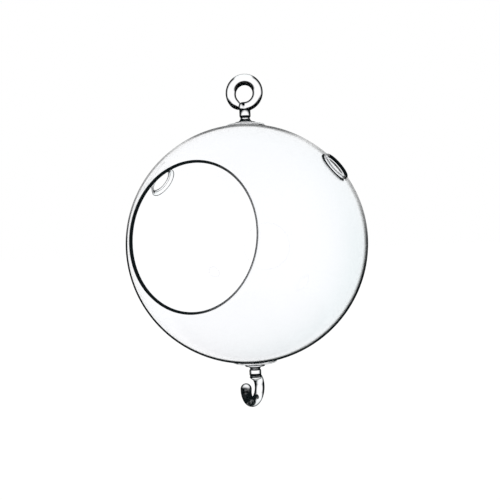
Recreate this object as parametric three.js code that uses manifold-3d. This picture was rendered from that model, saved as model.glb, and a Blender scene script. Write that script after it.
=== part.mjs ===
// Hanging glass terrarium: a clear blown globe with a round planting opening and two small air vents,
// a glass ring on its crown to hang it by, and a glass hook under it for the next globe of a chain.
// Millimetres, +Z up, the opening faces -Y. The origin is the inside crown of the ring's eye, where
// the thing that it hangs from bears. Each piece is one gather or rod of glass, melted to the next.
import * as THREE from "three";
import { mergeVertices } from "three/addons/utils/BufferGeometryUtils.js";
import Module from "manifold-3d";

const wasm = await Module();
wasm.setup();

// Globe, a blown bubble that is a little wider than it is high
const GLOBE_DIAMETER = 120;
const GLOBE_HEIGHT = 118.7;
const GLOBE_WALL = 1.2;
const GLOBE_AHEAD = 3.2; // its centre lies this far in front of the ring, to balance its heavier back

// Planting opening, cut from the bubble's front and melted back to a round rim
const OPENING_DIAMETER = 69.4; // across the middle of the rim
const OPENING_LIFT = 4.9; // degrees that it looks up
const RIM_BEAD = 1.7;

// Air vents, one high on each side, blown through and flared outwards
const VENT_BORE = 11.8;
const VENT_LIP_BEAD = 1.6;
const VENT_LIP_RISE = 1.4; // above the globe
const VENT_FLARE = 1; // how far the flare's foot reaches past the lip
const VENT_SHOULDER = [0.33, 0.35]; // share of that reach, and of the flare's rise, at the bend in its side
const VENT_ELEVATION = 35.8; // degrees above the globe's middle
const VENT_AZIMUTH = 89.4; // degrees from the opening, to either side
const VENT_TURN = 4.3; // degrees that the pair is turned to the right

// Ring, a rod bent round a former, with its tail lapped in front of its start
const RING_BEND_RADIUS = 6.95; // to the middle of the rod
const RING_ROD_AT_CROWN = 5.7;
const RING_ROD_AT_FOOT = 4.7;
const RING_TURN = 19; // degrees that the ring faces to the right of the opening
const RING_LAP = 4; // degrees that each end runs past the foot, before it is rounded
const RING_LAP_SPREAD = 3; // between the two ends, front to back

// Top fittings
const TOP_PAD_DIAMETER = 19.8;
const TOP_PAD_RISE = 0.8; // above the crown
const TOP_COLLAR_DIAMETER = 11;
const TOP_COLLAR_HEIGHT = 3.5;
const TOP_COLLAR_LIP = 1.1; // upright edge of its foot
const LOOP_STEM_DIAMETER = 5.6;
const LOOP_STEM_LENGTH = 2.85; // up to the ring's underside

// Bottom fittings
const BOTTOM_PAD_DIAMETER = 22.4;
const BOTTOM_PAD_DROP = 0.5; // below the globe
const BOTTOM_COLLAR_DIAMETER = 10.4;
const BOTTOM_COLLAR_HEIGHT = 3.3;
const BOTTOM_COLLAR_LIP = 1.9;
const HOOK_STEM_DIAMETER = 5.6;
const HOOK_STEM_BULGE = 0.2; // its barrel stands this far proud of its ends
const HOOK_STEM_LENGTH = 3.3;

// Hook, a rod bent into three quarters of a ring, in line with the opening
const HOOK_BEND_RADIUS = 6.65; // to the middle of the rod
const HOOK_ROD_AT_SHANK = 5.3;
const HOOK_ROD_AT_SADDLE = 4.9;
const HOOK_ROD_AT_TIP = 5.6;
const HOOK_SHANK_SWEEP = 64; // degrees of bend above its rearmost point
const HOOK_TIP_SWEEP = 8; // degrees of bend above its foremost point
const HOOK_BEAD_DIAMETER = 5.9;
const HOOK_BEAD_HEIGHT = 1.8;

// Shared finish of pads and joints
const PAD_EDGE_WIDTH = 2; // the rounded border of a pad
const PAD_EDGE_DEPTH = 0.7;
const CLEARANCE = 0.3; // between pieces that meet on a curve

// Faceting
const GLOBE_SIDES = 48;
const GLOBE_STEPS = 22; // from the back pole to the rim
const BEAD_STEPS = 6;
const PAD_SIDES = 40;
const FITTING_SIDES = 32;
const ROD_SIDES = 16;
const RING_SEGMENTS = 41; // odd, so that one lies level at the crown
const HOOK_DEGREES_PER_SEGMENT = 10;
const CURVE_STEPS = 5;
const END_STEPS = 4; // rings that round a rod's end

const radians = THREE.MathUtils.degToRad;

// The glass: clear, with a trace of green and a fire-polished surface
function glass() {
  return new THREE.MeshStandardMaterial({
    color: 0xe6f1f0,
    roughness: 0.03,
    metalness: 0,
    transparent: true,
    opacity: 0.4,
  });
}

// A closed geometry as a solid that can be joined and cut
function toSolid(geometry) {
  const bare = new THREE.BufferGeometry();
  bare.setAttribute("position", geometry.getAttribute("position"));
  bare.setIndex(geometry.index);
  const merged = mergeVertices(bare, 1e-4);
  const corners = merged.index.array;
  const faces = [];
  for (let i = 0; i < corners.length; i += 3) {
    const [a, b, c] = [corners[i], corners[i + 1], corners[i + 2]];
    if (a !== b && b !== c && c !== a) faces.push(a, b, c);
  }
  return new wasm.Manifold(
    new wasm.Mesh({
      numProp: 3,
      vertProperties: new Float32Array(merged.attributes.position.array),
      triVerts: new Uint32Array(faces),
    }),
  );
}

function toGeometry(solid) {
  const mesh = solid.getMesh();
  const geometry = new THREE.BufferGeometry();
  geometry.setAttribute("position", new THREE.BufferAttribute(mesh.vertProperties, 3));
  geometry.setIndex(new THREE.BufferAttribute(mesh.triVerts, 1));
  geometry.computeVertexNormals();
  return geometry;
}

function namedMesh(name, geometry) {
  const mesh = new THREE.Mesh(geometry, glass());
  mesh.name = name;
  return mesh;
}

// A profile of (radius, height) points, from the axis at the bottom to the axis at the top, turned about Z
function turned(points, sides) {
  const profile = points.map(([radius, height]) => new THREE.Vector2(radius, height));
  return new THREE.LatheGeometry(profile, sides).rotateX(Math.PI / 2);
}

// Points of an arc of an ellipse, both ends included; angles in degrees from the outward direction
function arc(centreRadius, centreHeight, reach, rise, from, to, steps) {
  return Array.from({ length: steps + 1 }, (_, i) => {
    const angle = radians(THREE.MathUtils.lerp(from, to, i / steps));
    return [centreRadius + reach * Math.cos(angle), centreHeight + rise * Math.sin(angle)];
  });
}

// A round rod whose middle runs through stationAt(angle) = { at, out, radius } at each of the angles, where
// out points away from the middle of its bend. One side of its section faces the middle of the bend, and
// its sides touch the true round rod.
function rod(stationAt, angles, { roundStart = true, roundEnd = true } = {}) {
  const nudge = 0.01;
  const sections = angles.map((angle) => {
    const heading = stationAt(angle + nudge).at.sub(stationAt(angle - nudge).at).normalize();
    return { ...stationAt(angle), heading };
  });
  const first = sections[0];
  const last = sections.at(-1);
  const positions = [];
  const addRing = ({ at, out, radius, heading }, shift, scale) => {
    const outward = out.clone().addScaledVector(heading, -out.dot(heading)).normalize();
    const sideways = heading.clone().cross(outward);
    const across = (radius * scale) / Math.cos(Math.PI / ROD_SIDES);
    for (let j = 0; j < ROD_SIDES; j++) {
      const angle = ((j + 0.5) / ROD_SIDES) * 2 * Math.PI;
      const point = at.clone().addScaledVector(heading, shift);
      point.addScaledVector(outward, across * Math.cos(angle));
      point.addScaledVector(sideways, across * Math.sin(angle));
      positions.push(...point);
    }
  };
  const addPole = ({ at, heading }, shift) => {
    positions.push(...at.clone().addScaledVector(heading, shift));
    return positions.length / 3 - 1;
  };

  const capAngles = Array.from({ length: END_STEPS - 1 }, (_, i) => ((i + 1) / END_STEPS) * (Math.PI / 2));
  const startCap = roundStart ? [...capAngles].reverse() : [];
  const endCap = roundEnd ? capAngles : [];
  for (const angle of startCap) addRing(first, -first.radius * Math.sin(angle), Math.cos(angle));
  for (const section of sections) addRing(section, 0, 1);
  for (const angle of endCap) addRing(last, last.radius * Math.sin(angle), Math.cos(angle));
  const rings = startCap.length + sections.length + endCap.length;
  const startPole = addPole(first, roundStart ? -first.radius : 0);
  const endPole = addPole(last, roundEnd ? last.radius : 0);

  const faces = [];
  for (let j = 0; j < ROD_SIDES; j++) {
    const next = (j + 1) % ROD_SIDES;
    for (let i = 0; i + 1 < rings; i++) {
      const here = i * ROD_SIDES;
      const ahead = here + ROD_SIDES;
      faces.push(here + j, here + next, ahead + next, here + j, ahead + next, ahead + j);
    }
    const lastRing = (rings - 1) * ROD_SIDES;
    faces.push(startPole, next, j, endPole, lastRing + j, lastRing + next);
  }
  const geometry = new THREE.BufferGeometry();
  geometry.setAttribute("position", new THREE.Float32BufferAttribute(positions, 3));
  geometry.setIndex(faces);
  return geometry;
}

// Heights of the stack, from the ring's eye down
const ringCentreZ = RING_ROD_AT_CROWN / 2 - RING_BEND_RADIUS;
const ringUndersideZ = ringCentreZ - RING_BEND_RADIUS - RING_ROD_AT_FOOT / 2;
const topCollarTopZ = ringUndersideZ - LOOP_STEM_LENGTH;
const topPadTopZ = topCollarTopZ - TOP_COLLAR_HEIGHT;
const globeCrownZ = topPadTopZ - TOP_PAD_RISE;
const globeCentreZ = globeCrownZ - GLOBE_HEIGHT / 2;
const globeNadirZ = globeCentreZ - GLOBE_HEIGHT / 2;
const bottomPadZ = globeNadirZ - BOTTOM_PAD_DROP;
const bottomCollarZ = bottomPadZ - BOTTOM_COLLAR_HEIGHT;
const hookWeldZ = bottomCollarZ - HOOK_STEM_LENGTH;

const globeRadius = GLOBE_DIAMETER / 2;
const squash = GLOBE_HEIGHT / GLOBE_DIAMETER;

// The blown wall, turned about the opening's axis: outer face, rolled rim, inner face
function globeWall() {
  const middleRadius = globeRadius - GLOBE_WALL / 2;
  const beadRadius = RIM_BEAD / 2;
  const rimAngle = Math.asin(OPENING_DIAMETER / 2 / middleRadius);
  const rootRun = Math.sqrt(beadRadius ** 2 - (GLOBE_WALL / 2) ** 2);
  const rootAngle = rimAngle + rootRun / middleRadius;
  const wallArc = (radius) =>
    Array.from({ length: GLOBE_STEPS + 1 }, (_, i) => {
      const angle = THREE.MathUtils.lerp(Math.PI, rootAngle, i / GLOBE_STEPS);
      return [i === 0 ? 0 : radius * Math.sin(angle), radius * Math.cos(angle)];
    });
  const rootTurn = Math.asin(GLOBE_WALL / 2 / beadRadius);
  const bead = [];
  for (let i = 1; i < BEAD_STEPS; i++) {
    const turn = THREE.MathUtils.lerp(Math.PI - rootTurn, rootTurn - Math.PI, i / BEAD_STEPS);
    const along = beadRadius * Math.cos(turn);
    const proud = beadRadius * Math.sin(turn);
    bead.push([
      (middleRadius + proud) * Math.sin(rimAngle) - along * Math.cos(rimAngle),
      (middleRadius + proud) * Math.cos(rimAngle) + along * Math.sin(rimAngle),
    ]);
  }
  const profile = [...wallArc(globeRadius), ...bead, ...wallArc(globeRadius - GLOBE_WALL).reverse()];
  const geometry = turned(profile, GLOBE_SIDES);
  return toSolid(geometry.rotateX(Math.PI / 2 - radians(OPENING_LIFT)).scale(1, 1, squash));
}

// One vent's lip, a bead on a flare that runs out into the wall, about Z with the globe's surface at 0
function ventLip() {
  const bore = VENT_BORE / 2;
  const beadRadius = VENT_LIP_BEAD / 2;
  const beadHeight = VENT_LIP_RISE - beadRadius;
  const footRadius = bore + VENT_LIP_BEAD + VENT_FLARE;
  const surfaceDrop = (radius) => globeRadius - Math.sqrt(globeRadius ** 2 - radius ** 2);
  const footHeight = -surfaceDrop(footRadius);
  const [shoulderReach, shoulderRise] = VENT_SHOULDER;
  const shoulderHeight = THREE.MathUtils.lerp(footHeight, beadHeight, shoulderRise);
  const profile = [
    [bore, -surfaceDrop(bore) - GLOBE_WALL / 2],
    [footRadius, footHeight - GLOBE_WALL / 2],
    [footRadius, footHeight],
    [bore + VENT_LIP_BEAD + VENT_FLARE * shoulderReach, shoulderHeight],
    ...arc(bore + beadRadius, beadHeight, beadRadius, beadRadius, 0, 180, CURVE_STEPS),
  ];
  profile.push(profile[0]);
  return turned(profile, FITTING_SIDES);
}

// A vent's axis from the globe's centre, and the move that brings a solid about Z onto it
function ventPlacement(side) {
  const azimuth = radians(side * VENT_AZIMUTH + VENT_TURN);
  const elevation = radians(VENT_ELEVATION);
  const axis = new THREE.Vector3(
    Math.sin(azimuth) * Math.cos(elevation),
    -Math.cos(azimuth) * Math.cos(elevation),
    Math.sin(elevation),
  );
  const turn = new THREE.Quaternion().setFromUnitVectors(new THREE.Vector3(0, 0, 1), axis);
  const round = new THREE.Matrix4().makeTranslation(0, 0, globeRadius);
  round.premultiply(new THREE.Matrix4().makeRotationFromQuaternion(turn));
  return round.premultiply(new THREE.Matrix4().makeScale(1, 1, squash));
}

function globe() {
  let solid = globeWall();
  const cutDepth = 4 * GLOBE_WALL + 2 * VENT_LIP_RISE;
  for (const side of [-1, 1]) {
    const placement = ventPlacement(side);
    const bore = new THREE.CylinderGeometry(VENT_BORE / 2, VENT_BORE / 2, cutDepth, FITTING_SIDES);
    bore.rotateX(Math.PI / 2);
    solid = solid.add(toSolid(ventLip().applyMatrix4(placement)));
    solid = solid.subtract(toSolid(bore.applyMatrix4(placement)));
  }
  return toGeometry(solid);
}

// A round pad whose free face is at height 0 and which reaches down to sit on the globe's crown.
// The cutter is the globe's own outside with the clearance added.
function pad(diameter, standOff) {
  const radius = diameter / 2;
  const reach = standOff + globeRadius / 4;
  const shoulder = [radius - PAD_EDGE_WIDTH, -PAD_EDGE_DEPTH];
  const edge = arc(...shoulder, PAD_EDGE_WIDTH, PAD_EDGE_DEPTH, 0, 90, CURVE_STEPS);
  const disc = turned([[0, -reach], [radius, -reach], ...edge, [0, 0]], PAD_SIDES);
  const outside = new THREE.SphereGeometry(globeRadius + CLEARANCE, 2 * PAD_SIDES, PAD_SIDES);
  outside.scale(1, 1, squash).translate(0, -GLOBE_AHEAD, -standOff - GLOBE_HEIGHT / 2);
  return toSolid(disc).subtract(toSolid(outside));
}

// A flared collar that stands on height 0 and narrows in a hollow curve to the stem
function collar(diameter, height, lip, stemDiameter) {
  const foot = diameter / 2;
  const neck = stemDiameter / 2;
  const flare = arc(foot, height, foot - neck, height - lip, 270, 180, CURVE_STEPS);
  return turned([[0, 0], [foot, 0], ...flare, [0, height]], FITTING_SIDES);
}

// The ring's rod at an angle from the crown, seen from the front: negative on its left side
const ringEnd = 180 + RING_LAP;

function ringStation(angle) {
  const turn = radians(angle);
  const out = new THREE.Vector3(Math.sin(turn), 0, Math.cos(turn));
  const at = out.clone().multiplyScalar(RING_BEND_RADIUS);
  at.y = (-RING_LAP_SPREAD / 2) * (angle / ringEnd) ** 3;
  at.z += ringCentreZ;
  const crownShare = (1 + Math.cos(turn)) / 2;
  return { at, out, radius: THREE.MathUtils.lerp(RING_ROD_AT_FOOT, RING_ROD_AT_CROWN, crownShare) / 2 };
}

// The ring in two lengths that share one section near the crown, so that its lapped ends can be joined
function ring(swelling = 0) {
  const angles = Array.from({ length: RING_SEGMENTS + 1 }, (_, i) => ringEnd * ((2 * i) / RING_SEGMENTS - 1));
  const shared = Math.floor(RING_SEGMENTS / 2);
  const stationAt = (angle) => {
    const station = ringStation(angle);
    return { ...station, radius: station.radius + swelling };
  };
  const start = rod(stationAt, angles.slice(0, shared + 1), { roundEnd: false });
  const tail = rod(stationAt, angles.slice(shared), { roundStart: false });
  return toSolid(start).add(toSolid(tail));
}

// The stem rises into the ring's underside and is cut to it
function loopStem() {
  const radius = LOOP_STEM_DIAMETER / 2;
  const top = ringCentreZ - RING_BEND_RADIUS;
  const shaft = turned(
    [[0, topCollarTopZ], [radius, topCollarTopZ], [radius, top], [0, top]],
    FITTING_SIDES,
  );
  const seat = ring(CLEARANCE).transform(new THREE.Matrix4().makeRotationZ(radians(RING_TURN)).toArray());
  const cut = toSolid(shaft).subtract(seat);
  // What the ring leaves above its rod isn't part of the stem.
  const lower = cut.decompose().sort((a, b) => b.volume() - a.volume())[0];
  return toGeometry(lower);
}

// A barrel-shaped stem that hangs from height 0
function hookStem() {
  const radius = HOOK_STEM_DIAMETER / 2;
  const side = Array.from({ length: CURVE_STEPS + 1 }, (_, i) => {
    const along = i / CURVE_STEPS;
    return [radius + HOOK_STEM_BULGE * Math.sin(Math.PI * along), HOOK_STEM_LENGTH * (along - 1)];
  });
  return turned([[0, -HOOK_STEM_LENGTH], ...side, [0, 0]], FITTING_SIDES);
}

// The hook's bend, with height 0 at the joint to its stem; angles run from its front over its top
const SADDLE_ANGLE = 270;
const shankBend = 90 + HOOK_SHANK_SWEEP;
const tipBend = 90 + HOOK_TIP_SWEEP;

function hookStation(angle) {
  const turn = radians(angle);
  const shankTurn = radians(HOOK_SHANK_SWEEP);
  const away = angle - SADDLE_ANGLE;
  const [bend, endRod] = away < 0 ? [shankBend, HOOK_ROD_AT_SHANK] : [tipBend, HOOK_ROD_AT_TIP];
  const out = new THREE.Vector3(0, -Math.cos(turn), Math.sin(turn));
  const at = out.clone().multiplyScalar(HOOK_BEND_RADIUS);
  at.y -= HOOK_BEND_RADIUS * Math.cos(shankTurn);
  at.z -= HOOK_BEND_RADIUS * Math.sin(shankTurn);
  return { at, out, radius: THREE.MathUtils.lerp(HOOK_ROD_AT_SADDLE, endRod, (away / bend) ** 2) / 2 };
}

// The hook's rod has a bead at its root, and both are cut level where the stem meets them
function hook() {
  // Half a segment on each side of the saddle, so that the rod lies level there
  const halfStep = HOOK_DEGREES_PER_SEGMENT / 2;
  const anglesTo = (end) => {
    const angles = [];
    for (let away = halfStep; away < end - halfStep; away += HOOK_DEGREES_PER_SEGMENT) angles.push(away);
    return [...angles, end];
  };
  const towardsShank = anglesTo(shankBend).reverse().map((away) => SADDLE_ANGLE - away);
  const towardsTip = anglesTo(tipBend).map((away) => SADDLE_ANGLE + away);
  const angles = [...towardsShank, ...towardsTip];
  const bend = toSolid(rod(hookStation, angles));
  const reach = HOOK_BEAD_DIAMETER / 2;
  const side = arc(reach / 2, -HOOK_BEAD_HEIGHT / 2, reach / 2, HOOK_BEAD_HEIGHT / 2, -90, 90, CURVE_STEPS);
  const bead = turned([[0, -HOOK_BEAD_HEIGHT], ...side, [0, 0]], FITTING_SIDES);
  const above = new THREE.BoxGeometry(4 * reach, 4 * reach, 2 * reach).translate(0, 0, reach);
  return toGeometry(bend.add(toSolid(bead)).subtract(toSolid(above)));
}

// Scene graph
const terrarium = new THREE.Group();

const globeMesh = namedMesh("globe", globe());
globeMesh.position.set(0, -GLOBE_AHEAD, globeCentreZ);
terrarium.add(globeMesh);

const hanger = new THREE.Group();
const topPad = namedMesh("top_pad", toGeometry(pad(TOP_PAD_DIAMETER, TOP_PAD_RISE)));
topPad.position.z = topPadTopZ;
const topCollar = namedMesh(
  "top_collar",
  collar(TOP_COLLAR_DIAMETER, TOP_COLLAR_HEIGHT, TOP_COLLAR_LIP, LOOP_STEM_DIAMETER),
);
topCollar.position.z = topPadTopZ;
const hangingRing = namedMesh("hanging_ring", toGeometry(ring(0)));
hangingRing.rotation.z = radians(RING_TURN);
hanger.add(topPad, topCollar, namedMesh("loop_stem", loopStem()), hangingRing);
terrarium.add(hanger);

const link = new THREE.Group();
const bottomPad = namedMesh(
  "bottom_pad",
  toGeometry(
    pad(BOTTOM_PAD_DIAMETER, BOTTOM_PAD_DROP).transform(
      new THREE.Matrix4().makeRotationY(Math.PI).toArray(),
    ),
  ),
);
bottomPad.position.z = bottomPadZ;
const bottomCollar = namedMesh(
  "bottom_collar",
  collar(BOTTOM_COLLAR_DIAMETER, BOTTOM_COLLAR_HEIGHT, BOTTOM_COLLAR_LIP, HOOK_STEM_DIAMETER)
    .rotateX(Math.PI),
);
bottomCollar.position.z = bottomPadZ;
const hookStemMesh = namedMesh("hook_stem", hookStem());
hookStemMesh.position.z = bottomCollarZ;
const bottomHook = namedMesh("bottom_hook", hook());
bottomHook.position.z = hookWeldZ;
link.add(bottomPad, bottomCollar, hookStemMesh, bottomHook);
terrarium.add(link);

export default terrarium;
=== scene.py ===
"""Hanging glass terrarium: the glass of every piece, its finish, and a plain pale studio to see it in.

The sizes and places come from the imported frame; what it doesn't say is a setting with its default here.
Lengths are metres and angles radians, as Blender keeps them.
"""

import math

import bmesh
import bpy
from mathutils import Matrix, Vector


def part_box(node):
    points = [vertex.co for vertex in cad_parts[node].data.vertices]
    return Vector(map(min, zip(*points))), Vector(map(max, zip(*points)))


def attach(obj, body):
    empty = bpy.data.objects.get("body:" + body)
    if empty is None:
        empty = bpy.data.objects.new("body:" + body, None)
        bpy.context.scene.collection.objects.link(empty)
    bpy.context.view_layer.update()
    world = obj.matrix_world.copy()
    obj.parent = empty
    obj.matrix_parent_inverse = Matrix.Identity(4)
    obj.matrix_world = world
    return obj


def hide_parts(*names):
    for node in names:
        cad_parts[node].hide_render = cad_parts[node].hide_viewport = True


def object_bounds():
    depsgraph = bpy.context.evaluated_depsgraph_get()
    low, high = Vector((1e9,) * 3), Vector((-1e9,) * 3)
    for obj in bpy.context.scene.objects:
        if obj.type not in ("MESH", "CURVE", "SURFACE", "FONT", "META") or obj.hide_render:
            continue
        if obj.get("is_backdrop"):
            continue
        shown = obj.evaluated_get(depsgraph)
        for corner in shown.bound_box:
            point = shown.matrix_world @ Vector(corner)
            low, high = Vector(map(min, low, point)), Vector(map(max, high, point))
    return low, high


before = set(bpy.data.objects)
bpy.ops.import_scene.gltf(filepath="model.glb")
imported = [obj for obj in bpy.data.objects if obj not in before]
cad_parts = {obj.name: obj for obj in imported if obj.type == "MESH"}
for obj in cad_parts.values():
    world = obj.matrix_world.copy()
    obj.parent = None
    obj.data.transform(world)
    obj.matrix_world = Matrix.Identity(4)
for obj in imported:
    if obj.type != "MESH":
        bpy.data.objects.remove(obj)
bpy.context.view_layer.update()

bl_info = {
    "name": "Hanging glass terrarium",
    "version": (1, 0, 0),
    "blender": (4, 5, 0),
    "location": "3D View > Sidebar > Terrarium",
    "description": "Models a blown glass globe with its ring, pads, stems and hook, and a studio for it",
    "category": "Add Mesh",
}

MM = 0.001
# What counts as the same height, and as a level face by its normal's Z
NEAR, LEVEL = 0.01 * MM, 0.999
QUARTER = math.pi / 2
# Share of a pad's width that is melted onto the globe
PAD_FOOT = 0.995
# How far the groove of a weld reaches up and down, between even pieces and where a stem draws in
WELD_REACH, BROAD_WELD_REACH = 0.3 * MM, 0.75 * MM
# How far a stem or the hook's bead takes to draw in to its weld
NECK_ROLL = 0.75 * MM
# Size of the grains in which a lapped or joined rod is melted into one
MELT_GRAIN = 0.15 * MM
# How far the globe's material changes past the foot of a vent's flare, as an angle
VENT_MARGIN = 0.004
# The painted dark lines of a vent, painted shade: how far they reach past its foot, inside its lip and up
# from its near foot
FOOT_LINE, LIP_LINE, NEAR_FOOT_LINE = 0.2 * MM, 0.05 * MM, 0.95 * MM
# The side on which the globe's painted shade, its dark edge and tint, is broader; the floor also glows more
# towards it for light mirrored inside a wall
PAINTED_SHADE_SIDE = (0.857, 0.515, 0.0)
# Material slots of the globe, and that of a weld on the other pieces
WALL_SLOT, RIM_SLOT, JOINT_SLOT, VENT_SLOT, LIP_SLOT = range(5)
WELD_SLOT = 1
# Lowest and highest corner of every node of the frame
NODE_BOX = {name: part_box(name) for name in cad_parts}


def node_radius(node_name):
    """Half the width across X of a node of the frame."""
    low, high = NODE_BOX[node_name]
    return (high[0] - low[0]) / 2


def globe_middle(height):
    low, high = NODE_BOX["globe"]
    return Vector((0, high[1] - node_radius("globe"), low[2] + height / 2))


# Settings

def millimetres(name, description, size):
    """A length's setting."""
    return bpy.props.FloatProperty(name=name, description=description, default=size * MM, unit="LENGTH")


def degrees(name, description, size):
    """An angle's setting."""
    default = math.radians(size)
    return bpy.props.FloatProperty(name=name, description=description, default=default, subtype="ANGLE")


def colour(name, description, default):
    """A colour's setting, from red, green and blue."""
    return bpy.props.FloatVectorProperty(
        name=name, description=description, default=default, size=3, subtype="COLOR"
    )


class GlobeSettings(bpy.types.PropertyGroup):
    """Sizes of the blown globe"""

    height: millimetres("Height", "From crown to nadir", 118.7)
    wall: millimetres("Wall", "Thickness of the blown wall", 1.2)
    rim: millimetres("Rim", "Thickness of the fire-polished rims", 1.6)
    opening: millimetres("Opening", "Clear width of the planting opening", 68.9)
    opening_lift: degrees("Opening lift", "How far the opening looks up", 4.9)
    vent: millimetres("Vent", "Width of an air vent across its lip", 15)
    vent_rise: millimetres("Vent rise", "Height of a vent's lip", 1.4)
    vent_flare: millimetres("Vent flare", "How far the flare's foot reaches past the lip", 1)
    vent_elevation: degrees("Vent elevation", "Angle of the vents above the globe's middle", 35.8)
    vent_azimuth: degrees("Vent azimuth", "Angle of each vent from the opening", 89.4)
    vent_turn: degrees("Vent turn", "How far the pair of vents is turned to the right", 4.3)


class FittingSettings(bpy.types.PropertyGroup):
    """Sizes of pads, collars and stems"""

    top_lip: millimetres("Top lip", "Edge of the top collar's foot", 1.1)
    bottom_lip: millimetres("Bottom lip", "Edge of the bottom collar's foot", 1.9)
    neck: millimetres("Neck", "How far a stem draws in at a weld", 0.5)


class RodSettings(bpy.types.PropertyGroup):
    """Sizes of the ring and the hook, bent from rod"""

    ring_bend: millimetres("Ring bend", "Radius to the middle of the ring's rod", 6.95)
    ring_crown: millimetres("Ring crown", "Thickness of the ring's rod at its crown", 5.7)
    ring_foot: millimetres("Ring foot", "Thickness of the ring's rod at its foot", 4.7)
    ring_turn: degrees("Ring turn", "How far the ring is turned to the right of the opening", 19)
    ring_lap: degrees("Ring lap", "How far each end of the ring runs past the foot", 4)
    ring_lap_spread: millimetres("Ring lap spread", "Between the ring's ends, front to back", 3)
    hook_bend: millimetres("Hook bend", "Radius to the middle of the hook's rod", 6.65)
    hook_shank: millimetres("Hook shank", "Thickness of the hook's rod at its root", 5.3)
    hook_saddle: millimetres("Hook saddle", "Thickness of the hook's rod at its bend", 4.9)
    hook_tip: millimetres("Hook tip", "Thickness of the hook's rod at its tip", 5.6)
    hook_bead: millimetres("Hook bead", "Thickness of the bead at the hook's root", 5.9)
    hook_bead_height: millimetres("Hook bead height", "Height of the bead at the hook's root", 1.8)
    hook_shank_sweep: degrees("Hook shank sweep", "Bend of the hook above its rearmost point", 64)
    hook_tip_sweep: degrees("Hook tip sweep", "Bend of the hook above its foremost point", 8)


class GlassSettings(bpy.types.PropertyGroup):
    """Colours and optics of the glass, and the colour of its painted dark edge"""

    clear: colour("Clear", "Tint of the glass seen through", (0.984, 0.988, 1.0))
    deep: colour("Deep", "Tint of the glass where the look goes through more of it", (0.84, 0.895, 0.905))
    # The edge colour is painted shade: the near-black that glass shows edge on, laid on as a colour
    edge: colour("Edge", "Colour of the glass seen edge on", (0.006, 0.009, 0.010))
    ior: bpy.props.FloatProperty(name="IOR", description="How strongly the glass bends light", default=1.47)


class StageSettings(bpy.types.PropertyGroup):
    """The studio and the camera"""

    backdrop: colour("Backdrop", "Colour of the backdrop and the floor", (1, 1, 1))
    floor_drop: millimetres("Floor drop", "Floor below the hook", 350)
    camera_azimuth: degrees("Camera azimuth", "From the opening, to the right", 31)
    camera_roll: degrees("Camera roll", "Lean of the picture", 2.3)
    camera_distance: millimetres("Camera distance", "To the middle of the globe", 400)
    lens: bpy.props.FloatProperty(name="Lens", description="Focal length in millimetres", default=57.58)


SETTINGS = {
    "terrarium_globe": GlobeSettings,
    "terrarium_fittings": FittingSettings,
    "terrarium_rods": RodSettings,
    "terrarium_glass": GlassSettings,
    "terrarium_stage": StageSettings,
}


# Modelling

def pick(*pieces):
    """Selects these pieces and nothing else, and makes the first of them active."""
    bpy.ops.object.select_all(action="DESELECT")
    for piece in pieces:
        piece.select_set(True)
    if pieces:
        bpy.context.view_layer.objects.active = pieces[0]


def start_piece(name):
    """Names the primitive that was just added, takes its place into its mesh and opens it for editing."""
    bpy.ops.object.transform_apply(location=True, rotation=True, scale=True)
    piece = bpy.context.object
    piece.name = name
    piece.data.name = name
    bpy.ops.object.mode_set(mode="EDIT")
    bpy.ops.mesh.select_all(action="SELECT")
    return piece


def editing(piece):
    return bmesh.from_edit_mesh(piece.data)


def select(piece, kind, test):
    """In edit mode, selects the faces or the edges that pass the test and nothing else."""
    bpy.ops.mesh.select_mode(type=kind)
    bpy.ops.mesh.select_all(action="DESELECT")
    mesh = editing(piece)
    for part in mesh.faces if kind == "FACE" else mesh.edges:
        if test(part):
            part.select_set(True)
    if kind == "FACE":
        mesh.select_flush(True)
    else:
        mesh.select_flush_mode()
    bmesh.update_edit_mesh(piece.data)


def apply_modifier(piece, kind, **values):
    modifier = piece.modifiers.new(kind.title(), kind)
    for key, value in values.items():
        setattr(modifier, key, value)
    bpy.context.view_layer.objects.active = piece
    bpy.ops.object.modifier_apply(modifier=modifier.name)


def place(piece, matrix):
    """Moves a piece and takes its place into its mesh, so that its object stays at the origin."""
    pick(piece)
    piece.matrix_world = matrix @ piece.matrix_world
    bpy.ops.object.transform_apply(location=True, rotation=True, scale=True)


def loft(name, sections, sides):
    """A closed piece drawn from a round section that is extruded, moved, turned and sized from one
    (centre, heading, radius) to the next, with a pole at each end."""
    pick()
    centre, heading, radius = sections[0]
    bpy.ops.mesh.primitive_circle_add(
        vertices=sides,
        radius=radius,
        fill_type="NGON",
        location=centre,
        rotation=heading.to_track_quat("Z", "Y").to_euler(),
    )
    piece = start_piece(name)
    bpy.ops.mesh.select_mode(type="FACE")
    for (centre, heading, radius), (to_centre, to_heading, to_radius) in zip(sections, sections[1:]):
        bpy.ops.mesh.extrude_region_move(TRANSFORM_OT_translate={"value": to_centre - centre})
        mesh = editing(piece)
        turn = heading.rotation_difference(to_heading).to_matrix().to_4x4()
        about = Matrix.Translation(to_centre) @ turn @ Matrix.Scale(to_radius / radius, 4)
        moved = [vert for vert in mesh.verts if vert.select]
        bmesh.ops.transform(mesh, matrix=about @ Matrix.Translation(-to_centre), verts=moved)
        bmesh.update_edit_mesh(piece.data)
    bpy.ops.mesh.select_all(action="SELECT")
    bpy.ops.mesh.normals_make_consistent(inside=False)
    select(piece, "FACE", lambda face: len(face.verts) == sides)
    bpy.ops.mesh.poke()
    bpy.ops.object.mode_set(mode="OBJECT")
    return piece


def turned(name, profile, sides):
    """A closed piece turned about the upright through (0, 0), from its (height, radius) profile going up."""
    up = Vector((0, 0, 1))
    return loft(name, [(Vector((0, 0, height)), up, radius) for height, radius in profile], sides)


def arc(centre, reach, start, end, steps=8):
    """Points of an ellipse's arc about a (height, radius) centre; angle 0 is outwards and a quarter turn up.
    A reach below 0 draws it towards the middle, so that it is hollow."""
    (height, radius), (rise, out) = centre, reach
    turns = [start + (end - start) * i / steps for i in range(steps + 1)]
    return [(height + rise * math.sin(turn), radius + out * math.cos(turn)) for turn in turns]


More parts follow.
